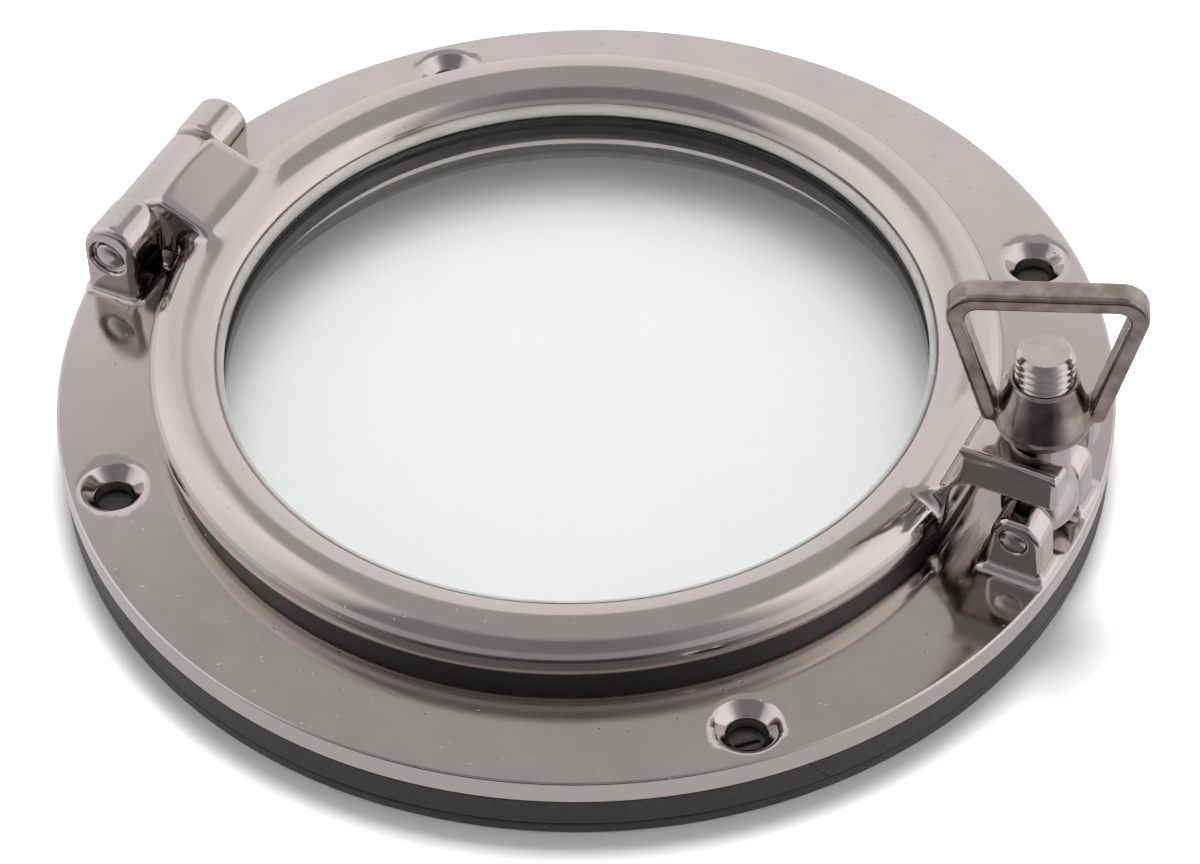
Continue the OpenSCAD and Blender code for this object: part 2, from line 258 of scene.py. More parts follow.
def round_port(radius, angle, z):
    x, y, z = polar(radius, angle, z)
    return x + port_x, y, z


def straight(x, y, z):
    return x, y, z


def spaced(low, high, step):
    return np.linspace(low, high, int(round((high - low) / step)) + 1)


def stepped(*stretches):
    """Marks along a line, as stretches of (start, stop, step) that follow each other."""
    return np.concatenate([spaced(*stretch)[:-1] for stretch in stretches] + [[stretches[-1][1]]])


def angles(fine_spans, fine, coarse):
    """Angles round a circle in degrees, closely spaced within the given spans."""
    marks, at = [], -180.0
    while at < 180 - coarse / 3:
        marks.append(at)
        near = any(low - coarse <= at <= high for low, high in fine_spans)
        at += fine if near else coarse
    return np.radians(marks)


def make_piece(name, points, faces, body, slot, stands_for):
    mesh = bpy.data.meshes.new(name)
    mesh.from_pydata((np.asarray(points) * MM).tolist(), [], [list(face) for face in faces])
    mesh.validate()
    mesh.polygons.foreach_set("use_smooth", [True] * len(mesh.polygons))
    piece = bpy.data.objects.new(name, mesh)
    bpy.context.scene.collection.objects.link(piece)
    print(name, len(mesh.vertices), "vertices", len(mesh.polygons), "faces")
    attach(piece, body)
    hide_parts(stands_for)
    return piece


# %% [markdown]
# ## The frame casting
#
# A flange with a spigot round the port, a pair of hinge lugs on one side and a pair of clamp lugs on
# the other, cast in one and machined on the port and the countersinks. The lugs could be boxes with a
# bevel, but their tops are ground by hand and their roots are filleted, so they are fields too.

# %% Lugs and holes
port_r = 78.0
spigot_z, spigot_r = frame_low[2], port_r + 3.5
hinge_lug_in, hinge_lug_out = 12.2, hinge_pin_high[1]
clamp_lug_in, clamp_lug_out = 6.5, latch_pin_high[1]
hole_pcd_r = 103.2
hole_r, sink_r = 4.0, 7.0
pin_bore_r = 3.05
recess_r, recess_depth = 4.4, 1.3
lug_root_z = face_z - 2
hinge_lug_outline = rounded(
    [(-6.3, -12), (-6.2, 2.5), (-3.6, 7.2), (0, 8.5), (4.5, 8.5), (7.3, 4), (6.6, -2), (6.6, -12)],
    [0, 8, 6, 6, 4, 6, 6, 0]) + hinge[[0, 2]]
clamp_lug_outline = rounded(
    [(-6.2, -11), (-5.0, 1.6), (-2.8, 5.2), (2.8, 5.2), (6.0, 1.8), (6.8, -11)],
    [0, 4, 2.4, 2.4, 4, 0]) + clamp[[0, 2]]
# Each lug's outline, its two sides, the rounding of its edges and the fillet at its root
LUGS = [(hinge_lug_outline, hinge_lug_in, hinge_lug_out, 2.0, 2.0),
        (clamp_lug_outline, clamp_lug_in, clamp_lug_out, 1.6, 3.2)]


def hole_centres():
    for quarter in range(4):
        turn = math.radians(45 + 90 * quarter)
        yield hole_pcd_r * math.cos(turn), hole_pcd_r * math.sin(turn)


print("holes at", [tuple(round(v, 1) for v in centre) for centre in hole_centres()])

# %% Frame casting
def frame_field(x, y, z):
    radius = np.hypot(x, y)
    port = np.hypot(x - port_x, y)
    flange = keep(radius - flange_r, np.maximum(z - face_z, flange_z - z), 0.5)
    spigot = np.maximum(port - spigot_r, np.maximum(spigot_z - z, z - face_z + 1))
    body = join(flange, spigot, 0.4)
    for outline, low, high, edge, fillet in LUGS:
        for side in (-1, 1):
            lug = slab_field(x, y, z, outline, side * (low + high) / 2, (high - low) / 2, edge)
            body = join(body, np.maximum(lug, lug_root_z - z), fillet)
    body = cut(body, port - port_r, 0.8)
    body = cut(body, box_field(port, z, (port_r - 1, flange_z - 0.1), (port_r + 0.6, flange_z + 0.5)), 0.2)
    for hole_x, hole_y in hole_centres():
        off = np.hypot(x - hole_x, y - hole_y)
        sink = (off - sink_r - (z - face_z)) * math.sqrt(0.5)
        body = cut(body, np.minimum(off - hole_r, sink), 0.6)
    off = np.hypot(x - hinge[0], z - hinge[2])
    recess = np.maximum(off - recess_r, hinge_lug_out - recess_depth - np.abs(y))
    body = cut(body, np.maximum(np.minimum(off - pin_bore_r, recess), 8 - np.abs(y)), 0.3)
    pin = np.hypot(x - clamp[0], z - clamp[2])
    return cut(body, np.maximum(pin - pin_bore_r, 4 - np.abs(y)), 0.25)


radii = stepped((75, 92, 0.9), (92, 114, 0.46))
levels = stepped((spigot_z - 1, flange_z - 0.6, 0.8), (flange_z - 0.6, flange_z + 1, 0.2),
                 (flange_z + 1, face_z - 3.4, 0.9), (face_z - 3.4, frame_high[2] + 1, 0.48))
turns = angles([(-180, -166), (-137.5, -132.5), (-47.5, -42.5), (-9.3, 9.3), (42.5, 47.5), (132.5, 137.5),
                (166, 180)], 0.29, 1.5)
frame_casting = make_piece("frame_casting", *skin(frame_field, radii, turns, levels, polar, around=1),
                           "frame", "polished_casting", "base_frame")

# %% [markdown]
# ## The sash casting
#
# One casting again: a domed bead that frames the glass, a knuckle whose top is ground to a sloping
# pad, and a forked ear on a hollow-backed neck that the swing bolt clamps. The bead alone could be
# turned, but the knuckle and the neck flow into it, so all three share one field.

# %% The bead and the knuckle
bead_half_w = 8.0
bead_mid_r = bead_r_out - bead_half_w
bead_mid_z = face_z + 7.3
bead_rise = 6.6
sash_gap = seal_high[2] - face_z
lip_z = face_z + 4.9
rebate_r = 80.0
skirt_r = 83.8
knuckle_half = 11.9
bead_hinge_x = port_x - bead_mid_r
knuckle_r = 6.5
hump_outline = rounded(
    [(hinge[0] + 6.8, hinge[2] + 10.2), (bead_hinge_x - 0.4, face_z + 17.0),
     (bead_hinge_x + 2, face_z + 12.0), (bead_hinge_x + 1, face_z + 6), (bead_hinge_x - 6.6, face_z + 4.6),
     (hinge[0] + 4, hinge[2] - 5), (hinge[0], hinge[2] - 3), (hinge[0] - 3, hinge[2] + 4.6)],
    [3.5, 2.5, 0, 0, 1, 1, 1, 2])
# The ground pad slopes from one point to the other, in x and z
PAD_HIGH, PAD_LOW = (hinge[0] + 6.9, face_z + 20.0), (hinge[0] + 16.4, face_z + 16.2)


def knuckle_field(x, y, z):
    barrel = keep(np.hypot(x - hinge[0], z - hinge[2]) - knuckle_r, np.abs(y) - knuckle_half, 0.9)
    crowned_z = z + 0.006 * y * y
    hump = slab_field(x, y, crowned_z, hump_outline, 0, knuckle_half, 2.2)
    run, rise = PAD_LOW[0] - PAD_HIGH[0], PAD_LOW[1] - PAD_HIGH[1]
    over_pad = ((z - PAD_HIGH[1]) * run - (x - PAD_HIGH[0]) * rise) / math.hypot(run, rise)
    return join(barrel, keep(hump, over_pad, 0.6), 3.5)


print("bead's middle radius", round(bead_mid_r, 2), "and height", round(bead_mid_z, 2))

# %% The ear
slot_half = 6.75
ear_half = 12.55
ear_end = sash_high[0]
ridge_h = 0.8
seat_z = sash_high[2] - ridge_h
ear_z = seat_z - 8.6
bead_clamp_x = port_x + bead_mid_r
neck_x = bead_clamp_x + bead_half_w
heel_x = neck_x + 2.2
ear_outline = np.concatenate([
    [(bead_clamp_x, face_z + 7.3), (neck_x - 1.4, face_z + 4.4)],
    arc((neck_x + 5.5, ear_z - 5.5), 5.5, 5.5, 180, 90, 8),
    rounded([(neck_x + 6, ear_z), (ear_end, ear_z + 0.4), (ear_end, seat_z), (heel_x - 1, seat_z)],
            [0, 1.2, 1.2, 0])[1:-1],
    arc((bead_clamp_x, seat_z - 1.2), heel_x - bead_clamp_x, seat_z - 1.2 - face_z - 13.4, 0, -80, 10)])


def ear_field(x, y, z):
    ear = slab_field(x, y, z, ear_outline, 0, ear_half, 1.2)
    ridge_y = np.abs(np.abs(y) - ear_half + 1.1) - 0.75
    ridge_x = np.maximum(heel_x - 1 - x, x - ear_end + 0.5)
    ridge = np.maximum(ridge_x, np.maximum(z - seat_z - ridge_h, seat_z - 1 - z))
    ear = join(ear, keep(ridge, ridge_y, 0.7), 0.8)
    fork = np.where(x > clamp[0], np.abs(y), np.hypot(x - clamp[0], y)) - slot_half
    return cut(ear, fork, 0.8)


print("the ear reaches x", round(ear_end, 1), "and its seat is at", round(seat_z, 1))

# %% Sash casting
def sash_field(x, y, z):
    port = np.hypot(x - port_x, y)
    bead = ellipse_field(port, z, (bead_mid_r, bead_mid_z), bead_half_w, bead_rise)
    bead = keep(bead, face_z + sash_gap - z, 0.6)
    bead = join(bead, box_field(port, z, (rebate_r - 2, face_z + 1.7), (skirt_r, face_z + 6)), 0.3)
    bead = cut(bead, box_field(port, z, (0, face_z - 9), (rebate_r, lip_z)), 0.4)
    body = join(join(bead, knuckle_field(x, y, z), 3.0), ear_field(x, y, z), 3.2)
    return cut(body, np.hypot(x - hinge[0], z - hinge[2]) - pin_bore_r, 0.3)


radii = spaced(74, 115, 0.5)
levels = spaced(face_z + 0.8, sash_high[2] + 1.2, 0.5)
turns = angles([(-180, -172.5), (-9.5, 9.5), (172.5, 180)], 0.3, 1.5)
sash_casting = make_piece("sash_casting", *skin(sash_field, radii, turns, levels, round_port, around=1),
                          "sash", "polished_casting", "sash_ring")

# %% [markdown]
# ## The rubber
#
# The two gaskets under the flange are cut from sheet, so their rims are square with a faint softness.
# The thick one is a strip closed on itself with a slanting scarf joint, which shows as a hairline, and
# it isn't punched: a dark skin of rubber shows at the bottom of each countersink, slit in one of them.

# %% Gaskets
rubber_r = flange_r - 0.3
skin_t = 1.5
scarf_turn, scarf_slope = math.radians(-37.5), 0.7
scarf_half_w, scarf_depth = 0.14, 0.8
slit_half_w, slit_half_l, slit_depth = 0.45, 2.8, 1.2
slit_x, slit_y = list(hole_centres())[3]


def gasket_field(low, high, hole_floor):
    def field(x, y, z):
        radius = np.hypot(x, y)
        ring = keep(radius - rubber_r, np.maximum(z - high, low - z), 0.5)
        ring = cut(ring, np.hypot(x - port_x, y) - spigot_r - 0.3, 0.3)
        for hole_x, hole_y in hole_centres():
            hole = np.maximum(np.hypot(x - hole_x, y - hole_y) - hole_r, z - hole_floor)
            ring = cut(ring, hole, 0.3)
        if hole_floor < high:
            along = ((x - slit_x) + (y - slit_y)) * math.sqrt(0.5)
            across = ((x - slit_x) - (y - slit_y)) * math.sqrt(0.5)
            slit = np.maximum(np.abs(across) - slit_half_w, np.abs(along) - slit_half_l)
            ring = cut(ring, np.maximum(slit, high - slit_depth - z), 0.2)
            at = rubber_r * (np.arctan2(y, x) - scarf_turn) + scarf_slope * (z - low)
            scarf = np.maximum(np.abs(at) - scarf_half_w, rubber_r - scarf_depth - radius)
            ring = cut(ring, scarf, 0.12)
        return ring
    return field


def make_gasket(name, node, low, high, hole_floor):
    radii = stepped((spigot_r - 2, spigot_r + 3, 0.7), (spigot_r + 3, 98, 2.2), (98, 108.4, 0.45),
                    (108.4, flange_r + 0.9, 0.4))
    levels = spaced(low - 0.6, high + 0.6, 0.4)
    turns = angles([(-137.3, -132.7), (-47.3, -42.7), (-39.5, -35), (42.7, 47.3), (132.7, 137.3)], 0.2, 1.2)
    return make_piece(name, *skin(gasket_field(low, high, hole_floor), radii, turns, levels, polar, around=1),
                      "frame", "gasket_rubber", node)


thick_gasket = make_gasket("thick_gasket", "flange_gasket", gasket_low[2], gasket_high[2],
                           gasket_high[2] - skin_t)
thin_gasket = make_gasket("thin_gasket", "backing_gasket", backing_low[2], backing_high[2],
                          backing_high[2] + 1)

# %% [markdown]
# ## The bow nut
#
# A conical hub under a flat bow for the fingers, cast in one and tumbled bright. It is modelled
# upright about the bolt's axis and then moved on to it: the closed bolt leans in by the angle that the
# joint's axis gives, so the nut and the shank share one placing function, and the thread takes the same lean.

# %% The leaning bolt
lean_axis = np.array(joint_named("nut_turn")["axis"])
lean = math.atan2(-lean_axis[0], lean_axis[2])
bolt_r = 11.9 / 2
end_r = bolt_r - 0.9
bolt_l = (bolt_high[2] - clamp[2] - end_r * math.sin(lean)) / math.cos(lean)
hub_h, bolt_past = 13.8, 6.8
nut_reach = bolt_l - hub_h - bolt_past


def on_bolt(x, y, z):
    c, s = math.cos(lean), math.sin(lean)
    return np.stack([clamp[0] + x * c - z * s, y, clamp[2] + x * s + z * c], axis=1)


print("lean", round(math.degrees(lean), 2), "bolt length", round(bolt_l, 1), "nut reach", round(nut_reach, 1))

# %% Bow nut
bow_turn = math.radians(21.6)
hub_r, hub_top_r, hub_foot_z = 10.3, 6.95, 2.4
bow_h, bow_depth, bar_t = 36.8, 5.8, 3.6
foot_w, top_w, foot_z = hub_r + 1.7, 21.5, 3.5
leg_slant = (top_w - foot_w) / (bow_h - foot_z)


def leg_inside(z):
    return foot_w + leg_slant * (z - foot_z) - bar_t * math.hypot(1, leg_slant)


gap_low, gap_high = 6.4, bow_h - bar_t
bow_outer = rounded([(-foot_w, foot_z), (foot_w, foot_z), (top_w, bow_h), (-top_w, bow_h)],
                    [1.5, 1.5, 5.6, 5.6], 9)
bow_inner = rounded([(-leg_inside(gap_low), gap_low), (leg_inside(gap_low), gap_low),
                     (leg_inside(gap_high), gap_high), (-leg_inside(gap_high), gap_high)],
                    [1, 1, 2.6, 2.6], 9)


def nut_field(x, y, z):
    off = np.hypot(x, y)
    taper = math.atan2(hub_r - 0.2 - hub_top_r, hub_h - hub_foot_z)
    side = (off - hub_r + 0.2) * math.cos(taper) + (z - hub_foot_z) * math.sin(taper)
    hub = keep(keep(keep(side, off - hub_r, 1.5), -z, 4.0), z - hub_h, 0.6)
    ring = np.maximum(outline_field(x, z, bow_outer), -outline_field(x, z, bow_inner))
    body = join(hub, keep(ring, np.abs(y) - bow_depth / 2, 1.0), 1.5)
    return cut(body, np.maximum(off - 6.0, z - hub_h - 3), 0.4)


points, faces = skin(nut_field, spaced(-22.2, 22.2, 0.4), spaced(-11.2, 11.2, 0.4),
                     spaced(-0.8, bow_h + 0.8, 0.4), straight)
x, y, z = points.T
turned = (x * math.cos(bow_turn) - y * math.sin(bow_turn), x * math.sin(bow_turn) + y * math.cos(bow_turn))
bow_nut = make_piece("bow_nut_casting", on_bolt(*turned, z + nut_reach), faces,
                     "nut", "satin_steel", "bow_nut")

# %% [markdown]
# ## The swing bolt
#
# The eye and shank are one forging, turned bright. The shank's end is faced flat inside a chamfer.

# %% Swing bolt shank
thread_from = nut_reach - 1.2
eye_r, eye_half = 7.3, 6.3


def bolt_field(x, y, z):
    eye = keep(np.sqrt(x ** 2 + (y * 0.8) ** 2 + z ** 2) - eye_r, np.abs(y) - eye_half, 1.0)
    shank = np.maximum(np.hypot(x, y) - bolt_r, np.maximum(z - thread_from, -z))
    return cut(join(eye, shank, 4.0), np.hypot(x, z) - pin_bore_r, 0.3)


points, faces = skin(bolt_field, spaced(-9, 9, 0.45), spaced(-7.5, 7.5, 0.45),
                     spaced(-8.5, thread_from + 1, 0.45), straight)
bolt_shank = make_piece("bolt_shank", on_bolt(*points.T), faces, "bolt", "turned_steel", "swing_bolt")

# %% [markdown]
# ## The pins
#
# Each pin is a turned rod. The hinge pin's ends are peened over to a low dome that sits in a ring
# groove, and the clamp pin's are dressed flush, so that only a faint circle shows. A turned shape is a
# profile swept round its axis, which is all that a lathe does.

# %% Turned pins
def turned_pin(name, node, centre, profile, steps=48):
    """A profile of (radius, distance along y), swept round an axis along y and closed at both ends."""
    turns = np.linspace(0, 2 * math.pi, steps, endpoint=False)
    rings = [(centre[0] + r * math.cos(t), along, centre[2] + r * math.sin(t))
             for r, along in profile for t in turns]
    faces = []
    for low in range(0, (len(profile) - 1) * steps, steps):
        for i in range(steps):
            after = (i + 1) % steps
            faces.append([low + i, low + steps + i, low + steps + after, low + after])
    top = (len(profile) - 1) * steps
    caps = [list(range(steps)), list(range(top, top + steps))[::-1]]
    return make_piece(name, rings, faces + caps, "frame", "turned_steel", node)


def domed(half, radius, rise):
    """One end's profile: a dome that starts at the rim."""
    marks = np.linspace(0, 1, 8)
    return [(radius * math.sqrt(1 - m * m) if m < 1 else 0.05, half - rise + rise * m) for m in marks]


end = domed(hinge_lug_out, 3.3, 0.9)
peened = [(r, -y) for r, y in reversed(end)] + [(3.0, 1.2 - hinge_lug_out), (3.0, hinge_lug_out - 1.2)] + end
hinge_pin = turned_pin("peened_hinge_pin", "hinge_pin", hinge, peened)
dressed = [(2.95, clamp_lug_out - 0.5), (2.85, clamp_lug_out - 0.2), (2.7, clamp_lug_out)]
flush = [(r, -y) for r, y in reversed(dressed)] + dressed
latch_pin = turned_pin("dressed_clamp_pin", "latch_pin", clamp, flush)

# %% [markdown]
# ## A node group for the thread
#
# One small function adds a node, sets it and links its inputs, and returns the output that is wanted.
# Every tree in this file is built with it.

# %% Node helper
def node(tree, kind, settings=None, out=0, **links):
    made = tree.nodes.new(kind)
    for key, value in (settings or {}).items():
        setattr(made, key, value)
    for key, value in links.items():
        socket = made.inputs[int(key[1:])] if key[1:].isdigit() else made.inputs[key.replace("_", " ")]
        if isinstance(value, bpy.types.NodeSocket):
            tree.links.new(value, socket)
        else:
            socket.default_value = value
    return made.outputs[out] if len(made.outputs) else made


MATH = "ShaderNodeMath"
ADD, SUBTRACT, MULTIPLY, DIVIDE = ({"operation": name} for name in ("ADD", "SUBTRACT", "MULTIPLY", "DIVIDE"))


def linear(hex_colour):
    """The linear RGBA of an sRGB hex colour."""
    out = []
    for k in (1, 3, 5):
        v = int(hex_colour[k:k + 2], 16) / 255
        out.append(v / 12.92 if v <= 0.04045 else ((v + 0.055) / 1.055) ** 2.4)
    return (*out, 1.0)


print("mid grey is", round(linear("#808080")[0], 3), "in linear light")

# %% [markdown]
# ## The thread
#
# The thread repeats every 1.75 mm, so Geometry Nodes make it: a plain drum whose rings of points are
# pushed in and out by a saw of their height less their angle, which is what a thread is. A screw
# modifier would do the same from a profile, but its ends would then need closing by hand.

# %% Thread tree
def thread_tree(material):
    tree = bpy.data.node_groups.new("thread", "GeometryNodeTree")
    for name in ("Length", "Crest radius", "Core radius", "Pitch", "Chamfer"):
        tree.interface.new_socket(name, in_out="INPUT", socket_type="NodeSocketFloat")
    tree.interface.new_socket("Geometry", in_out="OUTPUT", socket_type="NodeSocketGeometry")
    given = node(tree, "NodeGroupInput").node.outputs
    pitches = node(tree, MATH, DIVIDE, i0=given["Length"], i1=given["Pitch"])
    rings = node(tree, "FunctionNodeFloatToInt", i0=node(tree, MATH, MULTIPLY, i0=pitches, i1=12.0))
    drum = node(tree, "GeometryNodeMeshCylinder", {"fill_type": "NGON"}, Vertices=72, Side_Segments=rings,
                Radius=given["Crest radius"], Depth=given["Length"])
    at = node(tree, "ShaderNodeSeparateXYZ", Vector=node(tree, "GeometryNodeInputPosition")).node.outputs
    angle = node(tree, MATH, {"operation": "ARCTAN2"}, i0=at[1], i1=at[0])
    turn = node(tree, MATH, DIVIDE, i0=angle, i1=2 * math.pi)
    rise = node(tree, MATH, DIVIDE, i0=at[2], i1=given["Pitch"])
    saw = node(tree, MATH, {"operation": "FRACT"}, i0=node(tree, MATH, SUBTRACT, i0=rise, i1=turn))
    twice = node(tree, MATH, {"operation": "MULTIPLY_ADD"}, i0=saw, i1=2.0, i2=-1.0)
    flank = node(tree, MATH, {"operation": "ABSOLUTE"}, i0=twice)
    crest = node(tree, MATH, {"operation": "MULTIPLY_ADD", "use_clamp": True}, i0=flank, i1=1.3, i2=-0.15)
    depth = node(tree, MATH, SUBTRACT, i0=given["Crest radius"], i1=given["Core radius"])
    cut_r = node(tree, MATH, {"operation": "MULTIPLY_ADD"}, i0=crest, i1=depth, i2=given["Core radius"])
    half = node(tree, MATH, MULTIPLY, i0=given["Length"], i1=0.5)
    to_end = node(tree, MATH, SUBTRACT, i0=half, i1=at[2])
    end_r = node(tree, MATH, SUBTRACT, i0=given["Crest radius"], i1=given["Chamfer"])
    taper = node(tree, MATH, ADD, i0=end_r, i1=to_end)
    radius = node(tree, MATH, {"operation": "MINIMUM"}, i0=cut_r, i1=taper)
    across = node(tree, MATH, MULTIPLY, i0=radius, i1=node(tree, MATH, {"operation": "COSINE"}, i0=angle))
    along = node(tree, MATH, MULTIPLY, i0=radius, i1=node(tree, MATH, {"operation": "SINE"}, i0=angle))
    place = node(tree, "ShaderNodeCombineXYZ", X=across, Y=along, Z=at[2])
    shaped = node(tree, "GeometryNodeSetPosition", Geometry=drum, Position=place)
    plain = node(tree, "GeometryNodeRealizeInstances", Geometry=shaped)
    dressed = node(tree, "GeometryNodeSetMaterial", Geometry=plain, Material=material)
    node(tree, "NodeGroupOutput", Geometry=dressed)
    return tree


def grown(name, tree, place, sizes):
    """A plain mesh from a node group, moved to its place."""
    carrier = bpy.data.objects.new(name + "_carrier", bpy.data.meshes.new(name + "_carrier"))
    bpy.context.scene.collection.objects.link(carrier)
    modifier = carrier.modifiers.new("grow", "NODES")
    modifier.node_group = tree
    for item in tree.interface.items_tree:
        if item.name in sizes:
            modifier[item.identifier] = sizes[item.name]
    seen = carrier.evaluated_get(bpy.context.evaluated_depsgraph_get())
    mesh = bpy.data.meshes.new_from_object(seen)
    bpy.data.objects.remove(carrier)
    mesh.transform(place)
    mesh.polygons.foreach_set("use_smooth", [len(face.vertices) == 4 for face in mesh.polygons])
    piece = bpy.data.objects.new(name, mesh)
    bpy.context.scene.collection.objects.link(piece)
    print(name, len(mesh.polygons), "faces")
    return piece


# %% [markdown]
# ## Material helpers
#
# Every material starts from one Principled shader. Patterns read Object coordinates in metres, so a
# noise of scale 1000 has features about 1 mm across.

# %% Material helpers
def new_material(name):
    material = bpy.data.materials.new(name)
    material.use_nodes = True
    tree = material.node_tree
    tree.nodes.clear()
    shader = node(tree, "ShaderNodeBsdfPrincipled").node
    node(tree, "ShaderNodeOutputMaterial", Surface=shader.outputs[0])
    return material, tree, shader


def dress(piece, material):
    piece.data.materials.clear()
    piece.data.materials.append(material)
    print(piece.name, "is finished in", material.name)


# %% [markdown]
# ## Buffed stainless casting
#
# The castings are 316 stainless steel, ground and then buffed to a mirror on a mop. The eye sees the
# room in it, a little wavy because a mop follows the metal, with a breath of haze, fine straight
# scratches from handling, a few casting pits that the mop skipped, and brown grime in corners, where
# the colour is also darkened as painted shade.

# %% Buffed casting
def buffed_casting():
    material, tree, shader = new_material("buffed_stainless_casting")
    at = node(tree, "ShaderNodeTexCoord", out="Object")
    clouds = node(tree, "ShaderNodeTexNoise", Vector=at, Scale=38.0, Detail=3.0, Roughness=0.55)
    tint = node(tree, "ShaderNodeMix", {"data_type": "RGBA"}, out=2, i0=clouds, i6=linear("#bdb8b5"),
                i7=linear("#cac5c1"))
    # Brown grime and painted shade darken the corners that a rag misses, which are the mesh's hollow places
    hollow = node(tree, "ShaderNodeNewGeometry", out="Pointiness")
    corner = node(tree, "ShaderNodeMapRange", Value=hollow, i1=0.47, i2=0.40, i3=0.0, i4=0.75)
    patchy = node(tree, "ShaderNodeTexNoise", Vector=at, Scale=260.0, Detail=3.0)
    grime_and_shade = node(tree, MATH, MULTIPLY, i0=corner, i1=patchy)
    # Pits 0.3 mm across, one in about every 4 mm of cells
    pits = node(tree, "ShaderNodeTexVoronoi", Vector=at, Scale=250.0)
    pit = node(tree, "ShaderNodeMapRange", Value=pits, i1=0.09, i2=0.05, i3=0.0, i4=1.0)
    # The hollows are painted darker towards brown: real grime and painted shade in one mask
    colour = node(tree, "ShaderNodeMix", {"data_type": "RGBA"}, out=2, i0=grime_and_shade, i6=tint,
                  i7=linear("#3d2f22"))
    tree.links.new(colour, shader.inputs["Base Color"])
    shader.inputs["Metallic"].default_value = 1.0
    # Haze in patches about 8 mm across
    haze = node(tree, "ShaderNodeTexNoise", Vector=at, Scale=120.0, Detail=4.0)
    rough = node(tree, "ShaderNodeMapRange", Value=haze, i1=0.3, i2=0.75, i3=0.07, i4=0.16)
    dull = node(tree, MATH, {"operation": "MULTIPLY_ADD"}, i0=grime_and_shade, i1=0.5, i2=rough)
    tree.links.new(dull, shader.inputs["Roughness"])
    # The mop's waves are about 16 mm long; scratches are 0.05 mm wide, drawn at 0.25 mm so that they show
    wave = node(tree, "ShaderNodeTexNoise", Vector=at, Scale=60.0, Detail=1.0)
    drawn = node(tree, "ShaderNodeMapping", Vector=at, Rotation=(0, 0, 0.6), Scale=(60, 4000, 900))
    scratch = node(tree, "ShaderNodeTexNoise", Vector=drawn, Scale=1.0, Detail=2.0)
    waved = node(tree, "ShaderNodeBump", Strength=0.22, Distance=0.00012, Height=wave)
    scratched = node(tree, "ShaderNodeBump", Strength=0.06, Distance=0.00002, Height=scratch, Normal=waved)
    pitted = node(tree, "ShaderNodeBump", {"invert": True}, Strength=0.5, Distance=0.00008, Height=pit,
                  Normal=scratched)
    tree.links.new(pitted, shader.inputs["Normal"])
    return material


# %% [markdown]
# ## Tumbled nut and turned bar
#
# The nut is a smaller casting that was barrel-tumbled, which leaves it bright but greyer, with brown
# tarnish at its edges and hollows; the hollows' darkening is partly painted shade. The bolt and the
# pins are bar stock, turned on a lathe: they are paler, and a faced end shows the tool's fine rings.

# %% Tumbled nut
def tumbled_nut():
    material, tree, shader = new_material("tumbled_stainless_nut")
    at = node(tree, "ShaderNodeTexCoord", out="Object")
    # Tarnish in clouds about 6 mm across
    clouds = node(tree, "ShaderNodeTexNoise", Vector=at, Scale=160.0, Detail=4.0, Roughness=0.6)
    spread = node(tree, "ShaderNodeMapRange", Value=clouds, i1=0.35, i2=0.65)
    tint = node(tree, "ShaderNodeMix", {"data_type": "RGBA"}, out=2, i0=spread, i6=linear("#80756f"),
                i7=linear("#aca39e"))
    # Painted shade: the hollows are darkened towards brown, along with the real tarnish there
    hollow = node(tree, "ShaderNodeNewGeometry", out="Pointiness")
    corner = node(tree, "ShaderNodeMapRange", Value=hollow, i1=0.48, i2=0.42, i3=0.0, i4=0.8)
    colour = node(tree, "ShaderNodeMix", {"data_type": "RGBA"}, out=2, i0=corner, i6=tint,
                  i7=linear("#3a2a1c"))
    tree.links.new(colour, shader.inputs["Base Color"])
    shader.inputs["Metallic"].default_value = 1.0
    rough = node(tree, "ShaderNodeMapRange", Value=clouds, i1=0.3, i2=0.7, i3=0.14, i4=0.24)
    tree.links.new(rough, shader.inputs["Roughness"])
    # Dimples 1.5 mm apart from the tumbling stones
    dimples = node(tree, "ShaderNodeTexNoise", Vector=at, Scale=650.0, Detail=2.0)
    bump = node(tree, "ShaderNodeBump", Strength=0.18, Distance=0.00005, Height=dimples)
    tree.links.new(bump, shader.inputs["Normal"])
    return material


# %% Turned bar
def turned_bar(name, axis_at, axis_turn):
    material, tree, shader = new_material(name)
    at = node(tree, "ShaderNodeTexCoord", out="Object")
    # Faint staining in clouds about 3 mm across
    clouds = node(tree, "ShaderNodeTexNoise", Vector=at, Scale=300.0, Detail=3.0)
    tint = node(tree, "ShaderNodeMix", {"data_type": "RGBA"}, out=2, i0=clouds, i6=linear("#b8b2af"),
                i7=linear("#d0cbc8"))
    tree.links.new(tint, shader.inputs["Base Color"])
    shader.inputs["Metallic"].default_value = 1.0
    shader.inputs["Roughness"].default_value = 0.18
    # The tool's rings are 0.1 mm apart, drawn at 0.5 mm so that they show.
    # A wave texture's rings lie 0.314 / scale apart.
    centred = node(tree, "ShaderNodeMapping", {"vector_type": "TEXTURE"}, Vector=at, Location=axis_at,
                   Rotation=axis_turn)
    rings = node(tree, "ShaderNodeTexWave", {"wave_type": "RINGS", "rings_direction": "Z"}, Vector=centred,
                 Scale=0.314 / 0.0005, Distortion=0.6, Detail=1.0)
    bump = node(tree, "ShaderNodeBump", Strength=0.12, Distance=0.00002, Height=rings)
    tree.links.new(bump, shader.inputs["Normal"])
    return material


# %% [markdown]
# ## Rubber and glass
#
# Sheet rubber is a flat dark grey with the fine grain of the cloth that it was cured against, and a
# low sheen. The seals are softer extruded rubber. The pane is toughened float glass, clear, with the
# faintest green that only shows through its edge.

